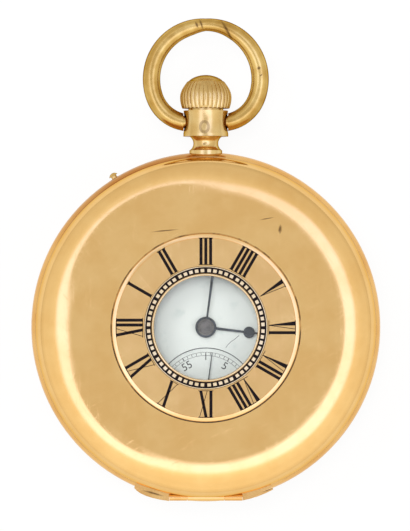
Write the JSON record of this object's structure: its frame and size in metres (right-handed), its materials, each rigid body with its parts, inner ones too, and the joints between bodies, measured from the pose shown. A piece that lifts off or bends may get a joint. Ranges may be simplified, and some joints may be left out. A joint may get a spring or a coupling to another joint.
{
  "type": "half hunter pocket watch",
  "caption": "Round hinged-lid pocket watch with a small window in the lid, a chapter ring round it, a crown in a swinging bow and a pin-set movement inside.",
  "frame": {"origin": "middle of the flat back, on the axis of the round case", "axes": "+Z out of the front lid towards the viewer, +Y towards the pendant and bow, +X to the right seen from the front"},
  "size_m": [0.05, 0.0692, 0.0148],
  "materials": {
    "case_gold": "polished gold, finely scratched",
    "disc_gold": "satin gold with filled numerals",
    "clear_glass": "polished clear glass",
    "plate_gilt": "frosted gilding",
    "wheel_brass": "grained, gilded brass",
    "steel": "polished hardened steel",
    "blued_steel": "heat-blued steel",
    "hand_steel": "dark polished steel",
    "enamel": "fired white enamel",
    "ruby": "polished synthetic ruby"
  },
  "bodies": {
    "case": {"case_band": "case_gold", "hinge_pins": "case_gold", "cuvette_hinge_pin": "case_gold", "fly_spring": "steel", "inner_bezel": "case_gold", "dial_glass": "clear_glass", "pendant": "case_gold", "main_plate": "plate_gilt", "barrel_bridge": "plate_gilt", "train_bridge": "plate_gilt", "balance_cock": "plate_gilt", "pallet_cock": "plate_gilt", "bridge_screws": "blued_steel", "jewels": "ruby", "click_spring": "steel", "hairspring": "blued_steel", "hairspring_stud": "steel", "dial": "enamel"},
    "front_lid": {"front_lid": "case_gold", "lid_chapter_disc": "disc_gold", "lid_glass": "clear_glass"},
    "back_cover": {"back_cover": "case_gold"},
    "cuvette": {"cuvette": "case_gold"},
    "bow": {"bow": "case_gold"},
    "push_sleeve": {"push_sleeve": "steel"},
    "crown": {"crown": "case_gold", "winding_stem": "steel"},
    "lock_spring": {"lock_spring": "steel"},
    "setting_pusher": {"setting_pusher": "case_gold"},
    "setting_lever": {"setting_lever": "steel"},
    "winding_pinion": {"winding_pinion": "steel", "clutch_wheel": "steel"},
    "crown_wheel": {"crown_wheel": "steel", "crown_gear": "steel"},
    "barrel_arbor": {"barrel_arbor": "steel", "ratchet_wheel": "steel"},
    "click": {"click": "steel"},
    "barrel": {"barrel_drum": "wheel_brass", "barrel_cover": "wheel_brass", "mainspring": "blued_steel"},
    "centre_wheel": {"centre_wheel": "wheel_brass", "cannon_pinion": "steel", "minute_hand": "hand_steel"},
    "third_wheel": {"third_wheel": "wheel_brass"},
    "fourth_wheel": {"fourth_wheel": "wheel_brass", "seconds_hand": "hand_steel"},
    "escape_wheel": {"escape_wheel": "steel"},
    "pallet_fork": {"pallet_fork": "steel", "pallet_stones": "ruby"},
    "balance": {"balance_wheel": "wheel_brass", "balance_staff": "steel", "roller": "steel"},
    "regulator": {"regulator": "steel"},
    "minute_wheel": {"minute_wheel": "wheel_brass"},
    "hour_wheel": {"hour_wheel": "wheel_brass", "hour_hand": "hand_steel"}
  },
  "joints": [
    {"name": "lid_hinge", "type": "hinge", "parent": "case", "child": "front_lid", "pos_m": [0, -0.0242, 0.01045], "axis": [1, 0, 0], "range_deg": [0, 95]},
    {"name": "back_hinge", "type": "hinge", "parent": "case", "child": "back_cover", "pos_m": [0, -0.0242, 0.00395], "axis": [-1, 0, 0], "range_deg": [0, 90]},
    {"name": "cuvette_hinge", "type": "hinge", "parent": "case", "child": "cuvette", "pos_m": [0, -0.02295, 0.0038], "axis": [-1, 0, 0], "range_deg": [0, 60]},
    {"name": "bow_swing", "type": "hinge", "parent": "case", "child": "bow", "pos_m": [0, 0.02935, 0.0072], "axis": [1, 0, 0], "range_deg": [-110, 110]},
    {"name": "crown_press", "type": "slide", "parent": "case", "child": "push_sleeve", "axis": [0, -1, 0], "range_m": [0, 0.00025], "stiffness_N_per_m": 100, "springref_m": -0.0005},
    {"name": "crown_turn", "type": "hinge", "parent": "push_sleeve", "child": "crown", "pos_m": [0, 0.0315, 0.0072], "axis": [0, 1, 0], "continuous": true},
    {"name": "lock_spring_flex", "type": "hinge", "parent": "case", "child": "lock_spring", "pos_m": [0.0144, 0.01716, 0.0055], "axis": [0, 0, 1], "range_deg": [0, 1]},
    {"name": "setting_push", "type": "slide", "parent": "case", "child": "setting_pusher", "axis": [0.5225, -0.8526, 0], "range_m": [0, 0.00035], "stiffness_N_per_m": 2, "springref_m": -0.001},
    {"name": "setting_lever_turn", "type": "hinge", "parent": "case", "child": "setting_lever", "pos_m": [-0.0052, 0.01874, 0.006], "axis": [0, 0, 1], "range_deg": [0, 4]},
    {"name": "winding_pinion_turn", "type": "hinge", "parent": "case", "child": "winding_pinion", "pos_m": [0, 0.01725, 0.0072], "axis": [0, 1, 0], "continuous": true},
    {"name": "crown_wheel_turn", "type": "hinge", "parent": "case", "child": "crown_wheel", "pos_m": [0, 0.01398, 0.002], "axis": [0, 0, 1], "continuous": true},
    {"name": "ratchet_turn", "type": "hinge", "parent": "case", "child": "barrel_arbor", "pos_m": [-0.00818, 0.00473, 0.002], "axis": [0, 0, 1], "continuous": true},
    {"name": "click_turn", "type": "hinge", "parent": "case", "child": "click", "pos_m": [-0.01869, 0.00381, 0.002], "axis": [0, 0, 1], "range_deg": [0, 12]},
    {"name": "fourth_wheel_turn", "type": "hinge", "parent": "case", "child": "fourth_wheel", "pos_m": [0, -0.0102, 0.005], "axis": [0, 0, -1], "continuous": true},
    {"name": "third_wheel_turn", "type": "hinge", "parent": "case", "child": "third_wheel", "pos_m": [0.00478, -0.00598, 0.005], "axis": [0, 0, -1], "continuous": true},
    {"name": "centre_wheel_turn", "type": "hinge", "parent": "case", "child": "centre_wheel", "pos_m": [0, 0, 0.005], "axis": [0, 0, -1], "continuous": true},
    {"name": "barrel_turn", "type": "hinge", "parent": "case", "child": "barrel", "pos_m": [-0.00818, 0.00473, 0.005], "axis": [0, 0, -1], "continuous": true},
    {"name": "escape_wheel_turn", "type": "hinge", "parent": "case", "child": "escape_wheel", "pos_m": [-0.00433, -0.00718, 0.005], "axis": [0, 0, -1], "continuous": true},
    {"name": "minute_wheel_turn", "type": "hinge", "parent": "case", "child": "minute_wheel", "pos_m": [0.00334, 0.00234, 0.009], "axis": [0, 0, -1], "continuous": true},
    {"name": "hour_wheel_turn", "type": "hinge", "parent": "case", "child": "hour_wheel", "pos_m": [0, 0, 0.009], "axis": [0, 0, -1], "continuous": true},
    {"name": "pallet_fork_swing", "type": "hinge", "parent": "case", "child": "pallet_fork", "pos_m": [-0.00729, -0.00898, 0.0058], "axis": [0, 0, 1], "range_deg": [-5, 5]},
    {"name": "balance_swing", "type": "hinge", "parent": "case", "child": "balance", "pos_m": [-0.01063, -0.01101, 0.0043], "axis": [0, 0, 1], "range_deg": [-270, 270], "stiffness_Nm_per_rad": 0.0000008},
    {"name": "regulator_turn", "type": "hinge", "parent": "case", "child": "regulator", "pos_m": [-0.01063, -0.01101, 0.0019], "axis": [0, 0, 1], "range_deg": [-20, 20]}
  ],
  "couplings": [
    {"joint": "cuvette_hinge", "follows": "back_hinge", "ratio": 0.666},
    {"joint": "lock_spring_flex", "follows": "crown_press", "rad_per_m": 69},
    {"joint": "setting_lever_turn", "follows": "setting_push", "rad_per_m": 195},
    {"joint": "winding_pinion_turn", "follows": "crown_turn", "ratio": 1},
    {"joint": "crown_wheel_turn", "follows": "crown_turn", "ratio": 0.54545},
    {"joint": "ratchet_turn", "follows": "crown_turn", "ratio": -0.27273},
    {"joint": "third_wheel_turn", "follows": "fourth_wheel_turn", "ratio": -0.13333},
    {"joint": "centre_wheel_turn", "follows": "fourth_wheel_turn", "ratio": 0.016667},
    {"joint": "barrel_turn", "follows": "fourth_wheel_turn", "ratio": -0.0020833},
    {"joint": "escape_wheel_turn", "follows": "fourth_wheel_turn", "ratio": -10},
    {"joint": "minute_wheel_turn", "follows": "fourth_wheel_turn", "ratio": -0.0055556},
    {"joint": "hour_wheel_turn", "follows": "fourth_wheel_turn", "ratio": 0.0013889}
  ]
}
